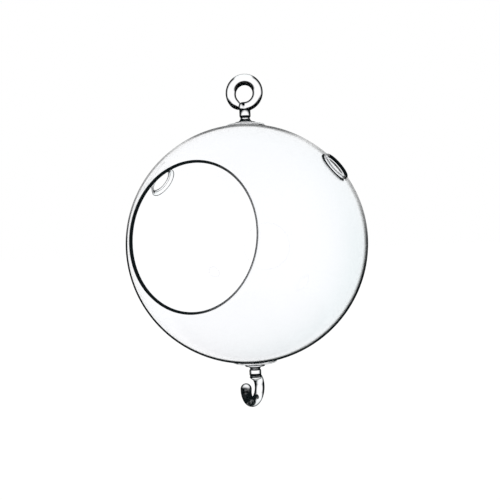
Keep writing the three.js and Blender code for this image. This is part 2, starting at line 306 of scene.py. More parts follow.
def rod_sections(station, start, end, count):
    """Sections of a round rod whose station(angle) gives its middle and radius, with rounded ends."""
    nudge = 1e-4

    def section(angle):
        heading = (station(angle + nudge)[0] - station(angle - nudge)[0]).normalized()
        middle, radius = station(angle)
        return middle, heading, radius

    def cap(middle, heading, radius, sign):
        turns = [QUARTER * i / 8 for i in range(1, 8)] + [math.radians(88.5)]
        return [
            (middle + heading * sign * radius * math.sin(turn), heading, radius * math.cos(turn))
            for turn in turns
        ]

    sections = [section(start + (end - start) * i / count) for i in range(count + 1)]
    return cap(*sections[0], -1)[::-1] + sections + cap(*sections[-1], 1)


def seat_on(piece, target, upward, test):
    """Projects the vertices that pass the test along Z onto the target's surface."""
    group = piece.vertex_groups.new(name="seat")
    group.add([vert.index for vert in piece.data.vertices if test(vert.co)], 1.0, "REPLACE")
    apply_modifier(
        piece,
        "SHRINKWRAP",
        wrap_method="PROJECT",
        target=target,
        vertex_group="seat",
        use_project_z=True,
        use_positive_direction=upward,
        use_negative_direction=not upward,
    )
    piece.vertex_groups.clear()


def melt(piece, rounds):
    """Turns what was pushed together into one skin of even grain and lets its creases flow."""
    apply_modifier(piece, "REMESH", mode="VOXEL", voxel_size=MELT_GRAIN)
    apply_modifier(piece, "SMOOTH", factor=0.5, iterations=rounds)


def keep_within(piece, node_name):
    """Draws a piece in by the hair by which it swelled past its node."""
    points = [vert.co for vert in piece.data.vertices]
    node_low, node_high = NODE_BOX[node_name]
    draw_in = Matrix.Identity(4)
    for axis in range(3):
        low, high = min(co[axis] for co in points), max(co[axis] for co in points)
        to_low, to_high = max(low, node_low[axis]), min(high, node_high[axis])
        size = (to_high - to_low) / (high - low)
        draw_in[axis][axis] = size
        draw_in[axis][3] = to_low - low * size
    place(piece, draw_in)


def mark(piece, slot, test):
    """Gives the faces that pass the test a material slot."""
    while len(piece.data.materials) <= slot:
        piece.data.materials.append(None)
    for face in piece.data.polygons:
        if test(face):
            face.material_index = slot


def mark_weld(piece, *welds):
    """Gives the faces in the groove of each weld, at its (height, reach), the weld's slot."""
    mark(piece, WELD_SLOT, lambda face: any(abs(face.center.z - height) < reach for height, reach in welds))


def finish_piece(piece, node_name, materials):
    """Shades a piece, gives it its glass and sets it in the place of its node."""
    slots = [face.material_index for face in piece.data.polygons]
    piece.data.materials.clear()
    for material in materials:
        piece.data.materials.append(material)
    for face, slot in zip(piece.data.polygons, slots):
        face.use_smooth = True
        face.material_index = slot
    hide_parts(node_name)
    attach(piece, "root")


# Nodes of a material

def feed(tree, socket, value):
    """Links another node's output to a socket, or sets the socket to a plain value."""
    if isinstance(value, bpy.types.NodeSocket):
        tree.links.new(value, socket)
    else:
        socket.default_value = value


def node(tree, kind, feeds=None, **values):
    """Adds a node with its settings and feeds its sockets, each given by its name or number."""
    made = tree.nodes.new(kind)
    for key, value in values.items():
        setattr(made, key, value)
    for key, value in (feeds or {}).items():
        feed(tree, made.inputs[key], value)
    return made


def maths(tree, operation, *terms, clamp=False):
    made = node(tree, "ShaderNodeMath", dict(enumerate(terms)), operation=operation, use_clamp=clamp)
    return made.outputs[0]


def vectors(tree, operation, *terms):
    """The outcome of vector maths: a number for a dot product, a length or a distance."""
    made = node(tree, "ShaderNodeVectorMath", dict(enumerate(terms)), operation=operation)
    return made.outputs["Value" if operation in ("DOT_PRODUCT", "LENGTH", "DISTANCE") else "Vector"]


def spread(tree, value, start, end, to_start=0.0, to_end=1.0, kind="SMOOTHSTEP"):
    """Goes from to_start to to_end while the value goes from start to end."""
    feeds = {"Value": value, "From Min": start, "From Max": end, "To Min": to_start, "To Max": to_end}
    return node(tree, "ShaderNodeMapRange", feeds, interpolation_type=kind).outputs["Result"]


def stepped(tree, value, stops, kind="LINEAR"):
    """Follows (value, level) stops, of which the first stands at 0 and the last at 1."""
    ramp = node(tree, "ShaderNodeValToRGB", {"Fac": value})
    ramp.color_ramp.interpolation = kind
    for position, level in stops[1:-1]:
        ramp.color_ramp.elements.new(position)
    for element, (position, level) in zip(ramp.color_ramp.elements, stops):
        element.color = (level, level, level, 1)
    return ramp.outputs["Color"]


def either(tree, share, first, second):
    """The first number where the share is 0, the second where it is 1."""
    return node(tree, "ShaderNodeMix", {0: share, 2: first, 3: second}, data_type="FLOAT").outputs[0]


def layered(tree, share, first, second):
    """A mix of two shaders."""
    feeds = {0: share, 1: first.outputs[0], 2: second.outputs[0]}
    return node(tree, "ShaderNodeMixShader", feeds)


def where(tree):
    """The place on the piece."""
    return node(tree, "ShaderNodeTexCoord").outputs["Object"]


def upright(tree, vector):
    return node(tree, "ShaderNodeSeparateXYZ", {0: vector}).outputs["Z"]


def noise(tree, scale, detail):
    feeds = {"Vector": where(tree), "Scale": scale, "Detail": detail}
    return node(tree, "ShaderNodeTexNoise", feeds).outputs["Fac"]


def empty_tree(owner):
    """The node tree of a new material or world, emptied."""
    owner.use_nodes = True
    owner.node_tree.nodes.clear()
    return owner.node_tree


# Effects that several materials share

# Light past the first number was mirrored, and light past the second crossed more than one wall or rod
MIRRORED, PAST_ONE_WALL = 0.5, 2.5


def shader_group(name, inputs, *outputs):
    """A new node group with its inputs' names and defaults and its outputs' names. Gives the group, the
    sockets that bring its inputs and the sockets that take its outputs."""
    group = bpy.data.node_groups.new(name, "ShaderNodeTree")
    for label, default in inputs.items():
        kind = "NodeSocketVector" if isinstance(default, tuple) else "NodeSocketFloat"
        group.interface.new_socket(name=label, in_out="INPUT", socket_type=kind).default_value = default
    for label in outputs:
        group.interface.new_socket(name=label, in_out="OUTPUT", socket_type="NodeSocketFloat")
    return group, group.nodes.new("NodeGroupInput").outputs, group.nodes.new("NodeGroupOutput").inputs


def waves_group(name):
    """Slow waves and faint tool marks in a surface that was melted smooth, as a bump height."""
    group, given, result = shader_group(name, {"Scale": 60.0, "Fine": 0.15}, "Height")
    slow = noise(group, given["Scale"], 1.0)
    fine = noise(group, maths(group, "MULTIPLY", given["Scale"], 5.0), 2.0)
    feed(group, result["Height"], maths(group, "MULTIPLY_ADD", fine, given["Fine"], slow))
    return group


# Painted shade of the blown wall by its height, given as a thickness, as a share from nadir to crown
PAINTED_SHADE_BY_HEIGHT = (
    (0.0, 1.0), (0.33, 1.0), (0.5, 0.93), (0.6, 0.75), (0.67, 0.6), (0.75, 0.5), (0.85, 0.5),
    (0.91, 0.3), (0.96, 0.75), (1.0, 0.8),
)


def painted_wall_shade_group(name):
    """How much of the painted dark edge and the tint the blown wall gets, given as its thickness: full below
    and at the crown, faint at the shoulders and uneven all over. This is painted shade, partly standing for
    the wall's thickness. Side goes from -1 to 1 towards the side where the painted shade is broader."""
    group, given, result = shader_group(name, {"Middle": 0.0, "Radius": 0.06}, "Thickness", "Side")
    side = maths(group, "DIVIDE", vectors(group, "DOT_PRODUCT", where(group), PAINTED_SHADE_SIDE), given["Radius"])
    above = maths(group, "SUBTRACT", upright(group, where(group)), given["Middle"])
    share = maths(group, "MULTIPLY_ADD", maths(group, "DIVIDE", above, given["Radius"]), 0.5, 0.5)
    # On the shade side the painted dark edge is broader, and a little paler for it.
    leaning = maths(group, "MULTIPLY_ADD", side, -0.05, 1.05)
    even = maths(group, "MULTIPLY", stepped(group, share, PAINTED_SHADE_BY_HEIGHT, "EASE"), leaning)
    # Blown glass is never quite even: patches a few centimetres across
    patchy = spread(group, noise(group, 38.0, 1.0), 0.35, 0.6, 0.93, 1.05, "LINEAR")
    feed(group, result["Thickness"], maths(group, "MULTIPLY", even, patchy, clamp=True))
    feed(group, result["Side"], side)
    return group


def tint_and_painted_edge_group(name):
    """How much of a colour shows where the glass is seen edge on, from Layer Weight's facing: the deeper
    tint, and the painted dark edge, which is painted shade, with any patch of painted shade over it.
    """
    inputs = {"Facing": 0.0, "Start": 0.6, "Full": 0.9, "Thickness": 1.0, "Patch Shade": 0.0}
    group, given, result = shader_group(name, inputs, "Depth")
    edge = spread(group, given["Facing"], given["Start"], given["Full"])
    depth = maths(group, "MULTIPLY", edge, given["Thickness"], clamp=True)
    feed(group, result["Depth"], maths(group, "MAXIMUM", depth, given["Patch Shade"]))
    return group


def painted_shade_patch_group(name):
    """A soft, streaky patch of painted shade about a middle, or another patch where that is deeper."""
    inputs = {"Middle": (0.0, 0.0, 0.0), "Size": (1.0, 1.0, 1.0), "Other": 0.0}
    group, given, result = shader_group(name, inputs, "Depth")
    away = vectors(group, "SUBTRACT", where(group), given["Middle"])
    reach = vectors(group, "LENGTH", vectors(group, "DIVIDE", away, given["Size"]))
    soft_border = spread(group, reach, 0.94, 0.76)
    streaks = spread(group, noise(group, 700.0, 2.0), 0.35, 0.55, 0.85, 1.0, "LINEAR")
    patch = maths(group, "MULTIPLY", soft_border, streaks)
    feed(group, result["Depth"], maths(group, "MAXIMUM", patch, given["Other"]))
    return group


def path_group(name):
    """Picks a brightness by how often light was mirrored and how many surfaces it crossed."""
    inputs = {"Mirrorings": 0.0, "Crossings": 0.0}
    inputs.update({"Straight": 1.0, "Through More": 1.0, "Outside": 1.0, "Inside": 1.0})
    group, given, result = shader_group(name, inputs, "Brightness")
    mirrored = maths(group, "GREATER_THAN", given["Mirrorings"], MIRRORED)
    more = maths(group, "GREATER_THAN", given["Crossings"], PAST_ONE_WALL)
    two = maths(group, "COMPARE", given["Crossings"], 2.0, 0.5)
    crossed = either(group, more, given["Straight"], given["Through More"])
    image = either(group, two, given["Outside"], given["Inside"])
    feed(group, result["Brightness"], either(group, mirrored, crossed, image))
    return group


GROUPS = {
    "Melted Waves": waves_group,
    "Painted Wall Shade": painted_wall_shade_group,
    "Tint And Painted Edge": tint_and_painted_edge_group,
    "Painted Shade Patch": painted_shade_patch_group,
    "Path Brightness": path_group,
}


def shared(tree, name, feeds):
    """Places a shared group, which is made when it is first asked for, and gives its outputs."""
    group = bpy.data.node_groups.get(name) or GROUPS[name](name)
    return node(tree, "ShaderNodeGroup", feeds, node_tree=group).outputs


def path_brightness(tree, straight, through_more, outside, inside):
    """Brightness of the studio by how light from it came through the glass: straight through one piece,
    through more than one, mirrored off the outside, or mirrored once inside a wall or rod."""
    rays = node(tree, "ShaderNodeLightPath").outputs
    feeds = {"Mirrorings": rays["Glossy Depth"], "Crossings": rays["Transmission Depth"]}
    feeds.update({"Straight": straight, "Through More": through_more, "Outside": outside, "Inside": inside})
    return shared(tree, "Path Brightness", feeds)["Brightness"]


# Finishes

# Where the glass starts to show its deeper tint and where it shows all of it, from 0 facing to 1 grazing
TINT_START, TINT_FULL = 0.1, 0.65
# What a lamp's light keeps of its colour on its way through a wall
SHADOW_TINT = (0.94, 0.96, 0.96, 1)
# How far below the globe's radius a point still counts as being on the outer surface
OUTER_SKIN = 0.25 * MM
# How much earlier the painted dark edge starts on the shade side
PAINTED_SHADE_SIDE_START = -0.06
# Brightness of the studio where it is seen with nothing or little glass before it
STUDIO_LEVEL = 1.04


def glass(
    name,
    painted_edge_start,
    painted_edge_full,
    wave_scale=250.0,
    wave_depth=0.00002,
    globe=None,
    painted_shade_patches=(),
    clearing=None,
    painted_edge_lean=None,
    seen="always",
    ior=None,
    gleam=1.0,
):
    """Clear glass that deepens to its tint where it is seen at a slant, and that has painted shade: a
    painted dark edge where it is seen edge on. It lets lamps through.

    globe is the middle and the radius of a blown globe. The patches of painted shade each give a middle and
    a size. clearing lists heights, each with how much later the painted dark edge starts there. The lean of
    the painted edge is a vector and a level: how far a place lies along the vector, plus the level, is how
    dark its painted edge gets. gleam is the strength of the surface's own reflection.
    """
    settings = bpy.context.scene.terrarium_glass
    material = bpy.data.materials.new(name)
    tree = empty_tree(material)
    # edge feeds the painted dark edge, which is painted shade; tint feeds the glass's deeper tint at a
    # slant.
    facing = node(tree, "ShaderNodeLayerWeight", {"Blend": 0.5}).outputs["Facing"]
    edge = {"Facing": facing, "Start": painted_edge_start, "Full": painted_edge_full}
    tint = {"Facing": facing, "Start": TINT_START, "Full": TINT_FULL}
    if clearing:
        # Where the rod runs along the look its painted dark edge would spread, so it starts later there.
        low, high = clearing[0][0], clearing[-1][0]
        share = spread(tree, upright(tree, where(tree)), low, high, kind="LINEAR")
        later = stepped(tree, share, [((height - low) / (high - low), level) for height, level in clearing])
        edge["Start"] = maths(tree, "ADD", later, painted_edge_start)
        edge["Full"] = maths(tree, "ADD", later, painted_edge_full)
    for middle, size in painted_shade_patches:
        patch = {"Middle": middle, "Size": size, "Other": edge.get("Patch Shade", 0.0)}
        edge["Patch Shade"] = shared(tree, "Painted Shade Patch", patch)["Depth"]
    if painted_edge_lean:
        lean, level = painted_edge_lean
        edge["Thickness"] = maths(tree, "ADD", vectors(tree, "DOT_PRODUCT", where(tree), lean), level)
    if globe:
        middle, radius = globe
        blown = shared(tree, "Painted Wall Shade", {"Middle": middle.z, "Radius": radius})
        # Only the outer surface has the painted dark edge. The inner one lies a wall's thickness nearer the
        # middle.
        from_middle = vectors(tree, "DISTANCE", where(tree), middle)
        outer = maths(tree, "GREATER_THAN", from_middle, radius - OUTER_SKIN)
        edge["Thickness"] = maths(tree, "MULTIPLY", blown["Thickness"], outer)
        # The tint and the painted dark edge are broader on the shade side, as painted shade.
        edge["Start"] = maths(tree, "MULTIPLY_ADD", blown["Side"], PAINTED_SHADE_SIDE_START, painted_edge_start)
        tinted_side = maths(tree, "MULTIPLY_ADD", blown["Side"], 0.75, 0.3, clamp=True)
        tint["Thickness"] = maths(tree, "MULTIPLY", blown["Thickness"], tinted_side)

    tints = {0: shared(tree, "Tint And Painted Edge", tint)["Depth"], 6: (*settings.clear, 1), 7: (*settings.deep, 1)}
    waves = shared(tree, "Melted Waves", {"Scale": wave_scale})["Height"]
    bump = {"Height": waves, "Distance": wave_depth, "Strength": 1.0}
    clear = {
        "Base Color": node(tree, "ShaderNodeMix", tints, data_type="RGBA").outputs[2],
        "Roughness": 0.0,
        "IOR": ior or settings.ior,
        "Transmission Weight": 1.0,
        "Specular Tint": (gleam, gleam, gleam, 1),
        "Normal": node(tree, "ShaderNodeBump", bump).outputs["Normal"],
    }
    # The painted dark edge, painted shade: a near-black matt shader mixed in where the glass is seen edge
    # on.
    deep = {"Base Color": (*settings.edge, 1), "Roughness": 0.4, "Specular IOR Level": 0.0}
    body = layered(
        tree,
        shared(tree, "Tint And Painted Edge", edge)["Depth"],
        node(tree, "ShaderNodeBsdfPrincipled", clear),
        node(tree, "ShaderNodeBsdfPrincipled", deep),
    )
    rays = node(tree, "ShaderNodeLightPath").outputs
    shown = layered(tree, unseen(tree, rays, seen), body, node(tree, "ShaderNodeBsdfTransparent"))
    through = node(tree, "ShaderNodeBsdfTransparent", {"Color": SHADOW_TINT})
    lit = layered(tree, rays["Is Shadow Ray"], shown, through)
    node(tree, "ShaderNodeOutputMaterial", {"Surface": lit.outputs[0]})
    return material


def unseen(tree, rays, seen):
    """1 for light that should pass a piece as if it weren't there: seen is "outside" or "inside" for one
    side of the globe's walls only, "unmirrored" for all but mirror images, "always" for all light."""
    if seen == "always":
        return 0.0
    within = maths(tree, "GREATER_THAN", rays["Transmission Depth"], PAST_ONE_WALL)
    if seen == "inside":
        return maths(tree, "SUBTRACT", 1.0, within)
    mirrored = maths(tree, "GREATER_THAN", rays["Glossy Depth"], MIRRORED)
    in_glass = maths(tree, "MODULO", rays["Transmission Depth"], 2.0)
    image = maths(tree, "MULTIPLY", mirrored, maths(tree, "SUBTRACT", 1.0, in_glass))
    return image if seen == "unmirrored" else maths(tree, "MAXIMUM", image, within)


# Each finish: where its painted dark edge, painted shade, starts and is full, from 0 facing to 1 grazing,
# and what is its own
FINISHES = {
    "clear_rod_glass": dict(
        painted_edge_start=0.14,
        painted_edge_full=0.4,
        clearing=((0.0028, 0.0), (0.0045, 0.4), (0.0058, 0.45)),
        gleam=0.1,
        seen="unmirrored",
    ),
    "hook_glass": dict(
        painted_edge_start=0.08,
        painted_edge_full=0.32,
        ior=1.2,
        gleam=0.1,
        clearing=(
            (-0.1615, 0.48), (-0.158, 0.36), (-0.155, 0.0), (-0.151, 0.0), (-0.149, 0.25), (-0.1463, 0.45),
        ),
        # Painted shade: dark patches on the tip and at the bend, standing for the dark that the bent rod
        # shows there
        painted_shade_patches=(
            ((0.0, -0.0083, -0.1563), (1.0, 0.0049, 0.006)),
            ((0.0, -0.0019, -0.1553), (1.0, 0.0021, 0.0028)),
        ),
        seen="unmirrored",
    ),
    "pad_glass": dict(painted_edge_start=0.9, painted_edge_full=1.0, wave_scale=200.0, seen="outside"),
    "collar_glass": dict(painted_edge_start=0.12, painted_edge_full=0.42, seen="outside", gleam=0.1),
    "vent_glass": dict(painted_edge_start=0.6, painted_edge_full=0.85),
    "vent_lip_glass": dict(painted_edge_start=0.05, painted_edge_full=0.45),
    # The rim's bead is painted dark almost all over, as painted shade, less dark along a lean to one side
    "painted_dark_rim_glass": dict(painted_edge_start=-0.5, painted_edge_full=0.2, painted_edge_lean=((-5.0, 9.0, 0.0), 1.5)),
    "weld_glass": dict(painted_edge_start=-0.6, painted_edge_full=0.1, seen="unmirrored", gleam=0.1),
    "collar_weld_glass": dict(painted_edge_start=-0.6, painted_edge_full=0.1, seen="outside", gleam=0.1),
}


def finish(name):
    """A finish's material, made when it is first asked for."""
    return bpy.data.materials.get(name) or glass(name, **FINISHES[name])


def joint_glass():
    """Where two pieces are melted into one there is no surface to see."""
    material = bpy.data.materials.get("melted_joint")
    if not material:
        material = bpy.data.materials.new("melted_joint")
        tree = empty_tree(material)
        nothing = node(tree, "ShaderNodeBsdfTransparent")
        node(tree, "ShaderNodeOutputMaterial", {"Surface": nothing.outputs[0]})
    return material


def rod_materials(name, weld="weld_glass"):
    return [finish(name), finish(weld), joint_glass()]


# Pieces

class TERRARIUM_OT_globe(bpy.types.Operator):
    """Blow the globe, open it, flare its vents and fire-polish its rims"""

    bl_idname = "terrarium.globe"
    bl_label = "Globe"

    def execute(self, context):
        s = context.scene.terrarium_globe
        radius = node_radius("globe")
        squash = s.height / 2 / radius
        middle = globe_middle(s.height)

        pick()
        bpy.ops.mesh.primitive_uv_sphere_add(
            segments=240, ring_count=120, radius=radius, rotation=(QUARTER - s.opening_lift, 0, 0)
        )
        globe = start_piece("globe_glass")

        # The mouth is cut off where the rim will end once it has swelled.
        swell = (s.rim - s.wall) / 2
        mouth_angle = math.asin(s.opening / 2 / radius) + swell / radius
        mouth_axis = Vector((0, -math.cos(s.opening_lift), math.sin(s.opening_lift)))
        bpy.ops.mesh.bisect(
            plane_co=mouth_axis * radius * math.cos(mouth_angle), plane_no=mouth_axis, clear_outer=True
        )

        # A round line under each pad marks where the pad is melted on.
        for pad, side in (("top_pad", 1), ("bottom_pad", -1)):
            self.mark_footprint(pad, side, radius, middle)
        vent_axes = [self.vent_axis(s, side) for side in (-1, 1)]
        for axis in vent_axes:
            self.flare_vent(globe, s, axis, radius, swell)

        bpy.ops.mesh.select_all(action="SELECT")
        bpy.ops.transform.resize(value=(1, 1, squash), center_override=(0, 0, 0))
        bpy.ops.object.mode_set(mode="OBJECT")
        for slot_name in ("wall", "rim", "joint"):
            globe.data.materials.append(bpy.data.materials.new(slot_name))
        apply_modifier(
            globe,
            "SOLIDIFY",
            thickness=s.wall,
            offset=-1,
            use_even_offset=True,
            use_rim=True,
            material_offset_rim=RIM_SLOT,
        )
        self.polish_rims(globe, s, swell)
        self.mark_vents(globe, s, vent_axes, radius, squash)
        place(globe, Matrix.Translation(middle))
        mark(globe, JOINT_SLOT, lambda face: self.under_pad(face, middle))

        blown = dict(
            painted_edge_start=0.768,
            painted_edge_full=0.84,
            wave_scale=35.0,
            wave_depth=0.00003,
            globe=(middle, s.height / 2),
        )
        wall = glass("clear_blown_glass", **blown)
        melted_on = glass("glass_under_pads", seen="inside", **blown)
        rim, throat, lip = finish("painted_dark_rim_glass"), finish("vent_glass"), finish("vent_lip_glass")
        finish_piece(globe, "globe", [wall, rim, melted_on, throat, lip])
        return {"FINISHED"}

    def mark_footprint(self, pad, side, radius, middle):
        """Cuts the round line of a pad's footprint into the sphere."""
        foot = node_radius(pad) * PAD_FOOT
        out = Vector((0, -middle.y, side * math.sqrt(radius**2 - middle.y**2))).normalized()
        bpy.ops.mesh.select_all(action="SELECT")
        bpy.ops.mesh.bisect(plane_co=out * math.sqrt(radius**2 - foot**2), plane_no=out)

    def under_pad(self, face, middle):
        """Whether a face of the outer wall lies under a pad."""
        out = face.center - middle
        if face.normal.dot(out) < 0 or face.material_index == RIM_SLOT:
            return False
        pad = "top_pad" if out.z > 0 else "bottom_pad"
        reach = math.hypot(face.center.x, face.center.y)
        return abs(out.z) > abs(out.x) and reach < node_radius(pad) * PAD_FOOT

    def vent_axis(self, s, side):
        azimuth = side * s.vent_azimuth + s.vent_turn
        level = math.cos(s.vent_elevation)
        return Vector((math.sin(azimuth) * level, -math.cos(azimuth) * level, math.sin(s.vent_elevation)))

    def flare_vent(self, globe, s, axis, radius, swell):
        """Opens a round hole in the sphere and draws its edge out to a lip."""
        lip = s.vent / 2 - swell
        foot = s.vent / 2 + s.vent_flare
        hole_angle = math.asin(foot / radius)

        select(globe, "FACE", lambda face: face.calc_center_median().angle(axis) < hole_angle)
        bpy.ops.mesh.delete(type="FACE")
        mesh = editing(globe)
        ragged_angle = 1.5 * hole_angle
        for vert in mesh.verts:
            if vert.is_boundary and vert.co.angle(axis) < ragged_angle:
                across = (vert.co - axis * vert.co.dot(axis)).normalized()
                vert.co = radius * (axis * math.cos(hole_angle) + across * math.sin(hole_angle))
        bmesh.update_edit_mesh(globe.data)

        def on_hole(edge):
            return edge.is_boundary and all(
                abs(vert.co.angle(axis) - hole_angle) < 0.01 for vert in edge.verts
            )

        # The side of the flare: (height along the vent's axis, reach from it)
        top = radius + s.vent_rise - swell
        base = math.sqrt(radius**2 - foot**2)
        profile = arc((top, foot), (top - base, lip - foot), -QUARTER, 0, 6)
        select(globe, "EDGE", on_hole)
        for (height, reach), (to_height, to_reach) in zip(profile, profile[1:]):
            bpy.ops.mesh.extrude_region_move(
                TRANSFORM_OT_translate={"value": axis * (to_height - height)}
            )
            size = to_reach / reach
            bpy.ops.transform.resize(value=(size, size, size), center_override=axis * to_height)

    def polish_rims(self, globe, s, swell):
        """Rounds the cut edges and lets them draw up into a bead, as a flame does."""
        rounding = 0.46 * s.wall
        bpy.ops.object.mode_set(mode="EDIT")
        select(globe, "FACE", lambda face: face.material_index == RIM_SLOT)
        bpy.ops.mesh.region_to_loop()
        bpy.ops.mesh.bevel(offset=rounding, segments=5, profile=0.5, material=RIM_SLOT)
        select(globe, "FACE", lambda face: face.material_index == RIM_SLOT)
        bpy.ops.transform.shrink_fatten(value=swell)
        bpy.ops.object.mode_set(mode="OBJECT")

    def mark_vents(self, globe, s, axes, radius, squash):
        """Gives the left vent its own lip and throat and a painted dark line round its foot, as painted
        shade. The right vent is clear but for painted shade on its far lip and on the near side of its foot."""
        foot_angle = math.asin((s.vent / 2 + s.vent_flare) / radius)
        left, right = axes
        for face in globe.data.polygons:
            out = Vector((face.center.x, face.center.y, face.center.z / squash))
            axis = left if out.angle(left) < out.angle(right) else right
            away = out.angle(axis)
            past_foot = (away - foot_angle) * radius
            on_vent = away < foot_angle + VENT_MARGIN
            on_lip = face.material_index == RIM_SLOT
            if axis is left:
                if on_vent:
                    face.material_index = LIP_SLOT if on_lip else VENT_SLOT
                at_foot = abs(past_foot) < FOOT_LINE
            else:
                far = out.y > axis.y * radius
                if on_vent:
                    dark = far and (on_lip or out.dot(axis) > radius - LIP_LINE)
                    face.material_index = RIM_SLOT if dark else WALL_SLOT
                at_foot = not far and -NEAR_FOOT_LINE < past_foot < FOOT_LINE
            if at_foot:
                face.material_index = RIM_SLOT


class TERRARIUM_OT_fittings(bpy.types.Operator):
    """Melt the pads, collars and stems onto the globe"""

    bl_idname = "terrarium.fittings"
    bl_label = "Pads, collars and stems"

    def execute(self, context):
        s = context.scene.terrarium_fittings
        self.make_pad("top_pad", upward=False)
        self.make_pad("bottom_pad", upward=True)
        self.make_collar("top_collar", "loop_stem", s.top_lip, s.neck, upward=True)
        self.make_collar("bottom_collar", "hook_stem", s.bottom_lip, s.neck, upward=False)
        self.make_stem("loop_stem", s.neck, open_top=True)
        self.make_stem("hook_stem", s.neck, open_top=False)
        return {"FINISHED"}

    def make_pad(self, node_name, upward):
        """A round pad with a rounded border, whose face up or down is melted onto the globe."""
        low, high = NODE_BOX[node_name]
        radius = node_radius(node_name)
        free, side = (low[2], 1) if upward else (high[2], -1)
        edge_out, edge_rise = 2.0 * MM, side * 0.7 * MM
        inner = free + edge_rise * 1.05
        # Shares of the radius at which the inner face has its rings
        rings = (0.985, 0.9, 0.7, 0.5, 0.3)
        profile = [(free, rings[-1] * radius)]
        profile += arc((free + edge_rise, radius - edge_out), (edge_rise, edge_out), -QUARTER, 0)
        profile += [(inner, radius * share) for share in rings]
        if not upward:
            profile.reverse()
        pad = turned(f"{node_name}_glass", profile, 96)
        globe = bpy.data.objects["globe_glass"]
        seat_on(pad, globe, upward, lambda co: abs(co.z - inner) < NEAR)
        mark(pad, JOINT_SLOT, lambda face: face.normal.z * side > 0.5)
        finish_piece(pad, node_name, rod_materials("pad_glass"))

    def make_collar(self, node_name, stem_name, lip, neck, upward):
        """A flared foot: an upright rounded edge, then a hollow curve to the stem."""
        low, high = NODE_BOX[node_name]
        foot = node_radius(node_name)
        stem = node_radius(stem_name) - neck
        rounding = min(lip, 0.5 * MM)
        height = high[2] - low[2]
        half_edge = 0.45 * lip
        shoulder = foot - rounding
        profile = [(0.0, foot - 0.6 * rounding)]
        profile += arc((half_edge, shoulder), (half_edge, rounding), math.radians(-60), QUARTER)
        profile += arc((height, shoulder), (height - 2 * half_edge, stem - shoulder), -QUARTER, 0)[1:]
        if upward:
            profile = [(low[2] + rise, radius) for rise, radius in profile]
        else:
            profile = [(high[2] - rise, radius) for rise, radius in reversed(profile)]
        collar = turned(f"{node_name}_glass", profile, 72)
        mark_weld(collar, (high[2] if upward else low[2], WELD_REACH))
        mark(collar, JOINT_SLOT, lambda face: abs(face.normal.z) > LEVEL)
        finish_piece(collar, node_name, rod_materials("collar_glass", "collar_weld_glass"))

    def make_stem(self, node_name, neck, open_top):
        """A short barrel that draws in at its welds. An open top runs up into the ring's foot."""
        low, high = NODE_BOX[node_name]
        radius = node_radius(node_name)
        ring_foot = NODE_BOX["hanging_ring"][0][2]
        bottom = low[2]
        top = ring_foot + 0.9 * MM if open_top else high[2]
        lower = arc((bottom + NECK_ROLL, radius - neck), (NECK_ROLL, neck), -QUARTER, 0)
        upper = [(top - (height - bottom), reach) for height, reach in reversed(lower)]
        stem = turned(f"{node_name}_glass", lower + ([(top, radius)] if open_top else upper), 72)
        mark_weld(stem, (bottom, BROAD_WELD_REACH), (top, 0 if open_top else WELD_REACH))
        mark(
            stem,
            JOINT_SLOT,
            lambda face: abs(face.normal.z) > LEVEL or (open_top and face.center.z > ring_foot + 0.2 * MM),
        )
        finish_piece(stem, node_name, rod_materials("collar_glass", "collar_weld_glass"))


class TERRARIUM_OT_ring(bpy.types.Operator):
    """Bend the hanging ring from rod and lap its ends"""

    bl_idname = "terrarium.ring"
    bl_label = "Hanging ring"

    def execute(self, context):
        s = context.scene.terrarium_rods
        centre = s.ring_crown / 2 - s.ring_bend
        # The end that is melted on first runs on a little further. It is drawn thin over an angle.
        start, drawn, thinnest = -math.pi - 0.2, 1.1, 0.4
        end = math.pi + s.ring_lap

        def station(angle):
            """angle is 0 at the crown."""
            share = (1 + math.cos(angle)) / 2
            radius = (s.ring_foot + (s.ring_crown - s.ring_foot) * share) / 2
            y = -s.ring_lap_spread / 2 * (angle / end) ** 3
            if angle < start + drawn:
                along = max(0.0, (angle - start) / drawn)
                eased = along * along * (3 - 2 * along)
                radius *= thinnest + (1 - thinnest) * eased
                y *= eased
            return Vector((s.ring_bend * math.sin(angle), y, centre + s.ring_bend * math.cos(angle))), radius

        ring = loft("hanging_ring_glass", rod_sections(station, start, end, 120), 48)
        place(ring, Matrix.Rotation(s.ring_turn, 4, "Z"))
        melt(ring, 16)
        keep_within(ring, "hanging_ring")
        foot = NODE_BOX["hanging_ring"][0][2]
        stem = node_radius("loop_stem")
        mark(
            ring,
            JOINT_SLOT,
            lambda face: face.center.z < foot + 1.5 * MM
            and math.hypot(face.center.x, face.center.y) < stem
            and face.normal.z < -0.2,
        )
        finish_piece(ring, "hanging_ring", rod_materials("clear_rod_glass"))
        return {"FINISHED"}


